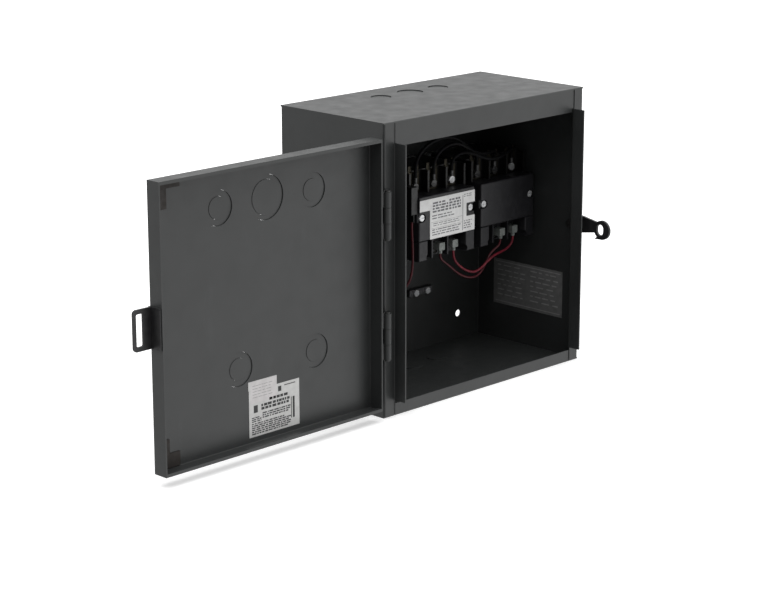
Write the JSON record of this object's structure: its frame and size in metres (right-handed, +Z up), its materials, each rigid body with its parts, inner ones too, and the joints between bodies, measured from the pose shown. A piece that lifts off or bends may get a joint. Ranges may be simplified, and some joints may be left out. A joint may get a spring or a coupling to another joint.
{
  "type": "automatic transfer switch",
  "caption": "Wall-mounted transfer switch: side-by-side contactors in a sheet-steel enclosure with hinged cover, padlock latch hook, jumpers and knockouts.",
  "frame": {"origin": "centre of the enclosure's back face, at the middle of the mounting-hole pattern", "axes": "+Z up, +Y out of the back towards the wall, +X towards the latch side"},
  "size_m": [0.6282, 0.1899, 0.3048],
  "materials": {
    "enclosure_paint": "satin grey powder paint",
    "black_paint": "satin black paint",
    "pin_steel": "zinc plated",
    "bumper_rubber": "matte",
    "label_film": "satin printed film",
    "wall_label_film": "matte printed film",
    "nameplate_metal": "satin",
    "housing_phenolic": "moulded phenolic",
    "cover_phenolic": "moulded phenolic",
    "screw_zinc": "bright zinc plated",
    "terminal_brass": "satin",
    "tinned_metal": "tinned",
    "coil_tape": "taped winding",
    "core_steel": "ground laminations",
    "carrier_plastic": "moulded phenolic",
    "spring_steel": "drawn wire",
    "base_zinc": "zinc plated",
    "red_insulation": "satin insulation",
    "dark_red_insulation": "satin insulation",
    "black_insulation": "satin insulation",
    "sleeve_nylon": "moulded nylon",
    "timer_case": "moulded",
    "bar_aluminium": "extruded"
  },
  "bodies": {
    "case": {"case_wrapper": "enclosure_paint", "case_top": "enclosure_paint", "case_bottom": "enclosure_paint", "top_knockouts": "enclosure_paint", "bottom_knockouts": "enclosure_paint", "hinge_case_leaves": "enclosure_paint", "hinge_pins": "pin_steel", "latch_rivet": "pin_steel", "left_nameplate": "nameplate_metal", "contactor_studs": "screw_zinc", "contactor_nuts": "screw_zinc", "interlock_housing": "housing_phenolic", "delay_timer": "timer_case", "timer_terminals": "tinned_metal", "aux_switch": "timer_case", "ground_bar": "bar_aluminium", "ground_screws": "screw_zinc", "wall_label": "wall_label_film", "coil_jumper_upper": "red_insulation", "coil_jumper_lower": "dark_red_insulation", "timer_lead": "dark_red_insulation", "power_jumper_1": "black_insulation", "power_jumper_2": "black_insulation", "power_jumper_3": "black_insulation", "coil_plugs": "sleeve_nylon", "power_lugs": "tinned_metal", "left_base_plate": "base_zinc", "left_housing": "housing_phenolic", "left_cover": "cover_phenolic", "left_cover_screws": "screw_zinc", "left_terminals": "terminal_brass", "left_terminal_screws": "screw_zinc", "left_coil": "coil_tape", "left_coil_terminals": "tinned_metal", "left_magnet_core": "core_steel", "left_return_springs": "spring_steel", "right_base_plate": "base_zinc", "right_housing": "housing_phenolic", "right_cover": "cover_phenolic", "right_cover_screws": "screw_zinc", "right_terminals": "terminal_brass", "right_terminal_screws": "screw_zinc", "right_coil": "coil_tape", "right_coil_terminals": "tinned_metal", "right_magnet_core": "core_steel", "right_return_springs": "spring_steel"},
    "door": {"door_pan": "enclosure_paint", "door_knockouts": "enclosure_paint", "door_bumpers": "bumper_rubber", "door_hasp": "black_paint", "door_labels": "label_film", "hinge_door_leaves": "enclosure_paint"},
    "latch_hook": {"latch_hook": "black_paint"},
    "interlock_rocker": {"interlock_rocker": "carrier_plastic"},
    "left_contacts": {"left_carrier": "carrier_plastic", "left_armature": "core_steel", "left_moving_contacts": "terminal_brass"},
    "right_contacts": {"right_carrier": "carrier_plastic", "right_armature": "core_steel", "right_moving_contacts": "terminal_brass"}
  },
  "joints": [
    {"name": "door_hinge", "type": "hinge", "parent": "case", "child": "door", "pos_m": [-0.1529, -0.15485, 0], "axis": [0, 0, 1], "range_deg": [0, 180]},
    {"name": "latch_hook_pivot", "type": "hinge", "parent": "case", "child": "latch_hook", "pos_m": [0.1545, -0.136, 0.0002], "axis": [-1, 0, 0], "range_deg": [-6, 8]},
    {"name": "interlock_rocker_pivot", "type": "hinge", "parent": "case", "child": "interlock_rocker", "pos_m": [0.05185, -0.038, 0.0286], "axis": [1, 0, 0], "range_deg": [-5, 5], "stiffness_Nm_per_rad": 0.05},
    {"name": "left_contactor_slide", "type": "slide", "parent": "case", "child": "left_contacts", "axis": [0, 1, 0], "range_m": [0, 0.0044], "stiffness_N_per_m": 1000, "springref_m": -0.004, "deforming": ["left_return_springs"]},
    {"name": "right_contactor_slide", "type": "slide", "parent": "case", "child": "right_contacts", "axis": [0, 1, 0], "range_m": [0, 0.0044], "stiffness_N_per_m": 1000, "springref_m": -0.004, "deforming": ["right_return_springs"]}
  ]
}
